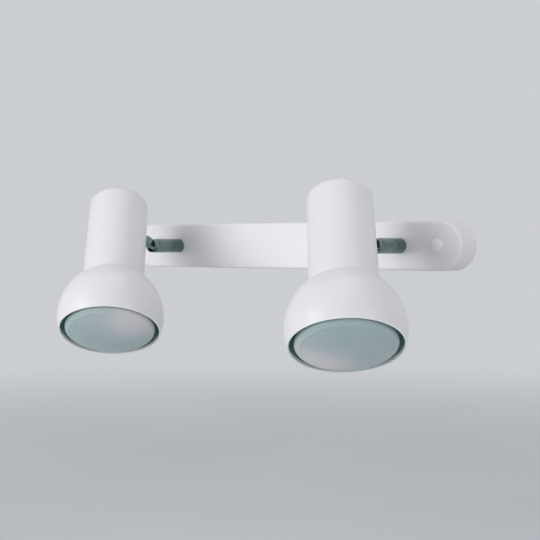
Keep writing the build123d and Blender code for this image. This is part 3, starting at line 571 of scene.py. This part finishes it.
def build_tube(side):
    """A spun cup with a squarish crown. Its foot is rounded and stands on the shade."""
    foot = lambda r, gap=0.02: (r, shade_height(r) + gap)
    crown = arc(0, TUBE_SHOULDER, TUBE_TOP_R, TUBE_TOP - TUBE_SHOULDER, 0, 90, 36, 2.12)
    crown[-1] = (0, TUBE_TOP)
    under_r, under_top = TUBE_TOP_R - TUBE_WALL, TUBE_TOP - TUBE_WALL
    under = arc(0, TUBE_SHOULDER, under_r, under_top - TUBE_SHOULDER, 90, 0, 20, 2.12)
    under[0] = (0, under_top)
    low = shade_height(TUBE_R)
    turn = [
        foot(TUBE_R - FOOT_ROUND, 0.03),
        (TUBE_R - 0.45 * FOOT_ROUND, low + 0.15),
        (TUBE_R - 0.12 * FOOT_ROUND, low + 0.4),
        (TUBE_R, low + 0.8),
    ]
    rise = TUBE_SHOULDER - low
    wall = [(TUBE_R + (TUBE_TOP_R - TUBE_R) * t, low + rise * t) for t in (k / 14 for k in range(1, 14))]
    skirt = TUBE_R - TUBE_WALL
    inner = [(under_r, TUBE_SHOULDER - 20), foot(skirt + 0.02, 0.25), foot(skirt + 0.1)]
    profile = turn + wall + crown + under + inner
    obj = lathe(
        f"head_tube_skin_{side}", FRAMES[side]["head"], profile, [head_white], segs=SKIN_SEGS, smooth=SKIN_EDGE
    )
    cut(obj, rod(FRAMES[side]["knuckle"], TUBE_HOLE_R, 12, 26))
    attach(obj, side, "head_tube")


def bulb_profile():
    """Outside and inside: a shallow front with a rounded edge, a bowl, a throat and a straight neck."""
    rise = LAMP_FACE_TOP - LAMP_APEX
    face = [(r, LAMP_APEX + rise * (r / LAMP_FACE_R) ** 2) for r in (0, 4, 8, 12, 16, 20, 24, 28, 31, 33.6)]
    groove = [(34.2, -2.55), (34.7, -2.2), (35.2, -2.3)]
    edge = groove + bend([(35.7, -2.2), (37.0, -1.6), (38.5, -0.5), (39.5, 0.7), (LAMP_R, LAMP_WIDEST)], 5)
    bowl = [(39.9, 5.0), (38.9, 11.5), (36.9, 19.5), (34.4, 27.05), (30.4, 36.5), (25.6, 44.8)]
    throat = [(20.6, LAMP_SHOULDER), (17.0, 57.6), (15.0, 62.2), (LAMP_NECK_R, 67.1), (LAMP_NECK_R, LAMP_GLASS_TOP)]
    outside = face + edge + bend([edge[-1]] + bowl + throat, 6)[1:]
    inside = []
    for r, t in reversed(outside):
        r_in = max(r - LAMP_WALL, 0) if t > LAMP_WIDEST else r * 0.975
        inside.append((r_in, t + (LAMP_WALL if t < LAMP_WIDEST else 0)))
    return outside + inside


def build_lamp(side):
    """A reflector lamp: its glass, frosted in front and silvered behind, and its screw cap."""
    head = FRAMES[side]["head"]
    front = lambda p, q: 0 if max(p[1], q[1]) < LAMP_WIDEST + 2 else 1
    glass = [lamp_faces[side], lamp_silver]
    bulb = lathe(f"lamp_bulb_{side}", head, bulb_profile(), glass, front, LAMP_SEGS, closed=False, smooth=LAMP_EDGE)
    attach(bulb, side, "lamp_glass")

    thread_r, inner_r, collar_r = CAP_R - 0.8, CAP_R - 1.25, LAMP_NECK_R + 0.5
    thread_low = LAMP_GLASS_TOP + 1.4
    cap = threaded(f"lamp_cap_thread_{side}", head, thread_r, CAP_R, thread_low, CAP_TOP, inner_r, cap_metal)
    collar = [
        (LAMP_NECK_R + 0.05, CAP_BOTTOM),
        (collar_r, CAP_BOTTOM + 0.15),
        (collar_r, LAMP_GLASS_TOP + 0.2),
        (CAP_R, LAMP_GLASS_TOP + 1.2),
        (thread_r, LAMP_GLASS_TOP + 1.7),
        (inner_r, LAMP_GLASS_TOP + 1.7),
        (inner_r, LAMP_GLASS_TOP + 0.5),
        (LAMP_NECK_R + 0.05, LAMP_GLASS_TOP - 0.3),
    ]
    dome = [(thread_r, -0.2), (thread_r - 0.3, 0.5), (9.2, 1.5), (8.9, 1.2), (11.5, 0.2), (inner_r, -0.2)]
    dome = [(r, CAP_TOP + t) for r, t in dome]
    button = [(0, -1.6), (5.0, -1.6), (5.0, -1.1), (4.2, -0.5), (2.6, -0.1), (0, 0)]
    button = [(r, LAMP_TIP + t) for r, t in button]
    ends = lathe(f"lamp_cap_ends_{side}", head, collar, [cap_metal])
    tip = lathe(f"lamp_cap_tip_{side}", head, dome, [cap_metal])
    contact = lathe(f"lamp_contact_{side}", head, button, [cap_metal], segs=BUTTON_SEGS, closed=False)
    attach(cap, side, "lamp_cap")
    for piece in (ends, tip, contact):
        attach(piece, side)


for side in SIDES:
    build_shade(side)
    build_tube(side)
    build_lamp(side)


# ---------------------------------------------------------------- camera, floor and light

# The camera that fits the picture: its focal length in pixels of a frame 540 wide, its place and its angles.
FOCAL_PX, FRAME_PX, SENSOR = 1161.87, 540, 36
CAMERA_AT = Vector((653.14, -874.34, 0.59))
yaw, pitch, roll = radians(38.15), radians(-1.23), radians(0.03)
forward, right, up = Vector((-sin(yaw), cos(yaw), 0)), Vector((cos(yaw), sin(yaw), 0)), Vector((0, 0, 1))
forward, up = forward * cos(pitch) + up * sin(pitch), up * cos(pitch) - forward * sin(pitch)
right, up = right * cos(roll) + up * sin(roll), up * cos(roll) - right * sin(roll)
camera_data = bpy.data.cameras.new("camera")
camera_data.sensor_width = SENSOR
camera_data.sensor_fit = "HORIZONTAL"
camera_data.lens = FOCAL_PX / FRAME_PX * SENSOR
camera_data.clip_start, camera_data.clip_end = 0.01, 50
camera = bpy.data.objects.new("camera", camera_data)
rotation = Matrix((right, up, -forward)).transposed().to_4x4()
camera.matrix_world = Matrix.Translation(CAMERA_AT * MM) @ rotation
bpy.context.scene.collection.objects.link(camera)
bpy.context.scene.camera = camera

# The backdrop's colour, the soft light from all round, and the floor in metres.
PALE = (0.60, 0.615, 0.63)
SKY, SKY_STRENGTH = (0.86, 0.87, 0.92), 0.58
FLOOR_Z, FLOOR_HALF, FADE_FROM, FADE_TO = -0.34, 9, 0.7, 2.4


def light_path_sum(tree):
    """One for rays that see the background: straight on, in a reflection or through glass."""
    path = tree.nodes.new("ShaderNodeLightPath")
    total = path.outputs["Is Camera Ray"]
    for other in ("Is Glossy Ray", "Is Transmission Ray"):
        add = tree.nodes.new("ShaderNodeMath")
        add.operation, add.use_clamp = "ADD", True
        tree.links.new(total, add.inputs[0])
        tree.links.new(path.outputs[other], add.inputs[1])
        total = add.outputs[0]
    return total


world = bpy.data.worlds.new("world")
bpy.context.scene.world = world
world.use_nodes = True
tree = world.node_tree
background = tree.nodes["Background"]
background.inputs["Color"].default_value = (*SKY, 1)
background.inputs["Strength"].default_value = SKY_STRENGTH
seen = tree.nodes.new("ShaderNodeBackground")
seen.inputs["Color"].default_value = (*PALE, 1)
blend = tree.nodes.new("ShaderNodeMixShader")
tree.links.new(light_path_sum(tree), blend.inputs[0])
tree.links.new(background.outputs[0], blend.inputs[1])
tree.links.new(seen.outputs[0], blend.inputs[2])
tree.links.new(blend.outputs[0], tree.nodes["World Output"].inputs["Surface"])

floor_mesh = bpy.data.meshes.new("floor")
square = ((-1, -1), (1, -1), (1, 1), (-1, 1))
floor_mesh.from_pydata([(x * FLOOR_HALF, y * FLOOR_HALF, FLOOR_Z) for x, y in square], [], [(0, 1, 2, 3)])
floor = bpy.data.objects.new("floor", floor_mesh)
bpy.context.scene.collection.objects.link(floor)
n = Nodes("floor_pale")
n.link(n.ramp(n.noise(3, 3), (0.3, shift(PALE, 1.10)), (0.7, shift(PALE, 1.14))), n.shader.inputs["Base Color"])
n.set(Roughness=0.85, Specular_IOR_Level=0.1)
far = n.add("ShaderNodeVectorMath", operation="LENGTH")
n.link(n.coords, far.inputs[0])
fade = n.add("ShaderNodeMapRange", interpolation_type="SMOOTHSTEP")
fade.inputs["From Min"].default_value, fade.inputs["From Max"].default_value = FADE_FROM, FADE_TO
n.link(far.outputs["Value"], fade.inputs["Value"])
glow = n.add("ShaderNodeEmission", Color=(*PALE, 1), Strength=1.0)
both = n.add("ShaderNodeMixShader")
n.link(n.math("MULTIPLY", fade.outputs["Result"], light_path_sum(n.tree)), both.inputs[0])
n.link(n.shader.outputs[0], both.inputs[1])
n.link(glow.outputs[0], both.inputs[2])
n.link(both.outputs[0], n.tree.nodes["Material Output"].inputs["Surface"])
floor_mesh.materials.append(n.m)


def softbox(name, spot, target, width, height, watts, colour):
    data = bpy.data.lights.new(name, "AREA")
    data.shape, data.size, data.size_y, data.energy, data.color = "RECTANGLE", width, height, watts, colour
    obj = bpy.data.objects.new(name, data)
    obj.location = spot
    obj.rotation_euler = (Vector(target) - Vector(spot)).to_track_quat("-Z", "Y").to_euler()
    bpy.context.scene.collection.objects.link(obj)


softbox("key", (-0.80, -2.0, 0.45), (0, -0.08, 0), 1.2, 1.5, 20, (1.0, 0.985, 0.985))
softbox("fill", (1.9, -0.35, 0.5), (0, -0.08, 0), 1.0, 1.4, 7, (0.97, 0.99, 1.0))
softbox("low", (-0.2, -1.6, -0.28), (0, -0.12, -0.05), 1.3, 0.5, 4, (0.97, 1.0, 0.99))
softbox("top", (0.1, 0.1, 1.6), (0, -0.05, 0), 1.3, 0.9, 3, (1, 1, 1))

bpy.context.scene.view_settings.view_transform = "Standard"

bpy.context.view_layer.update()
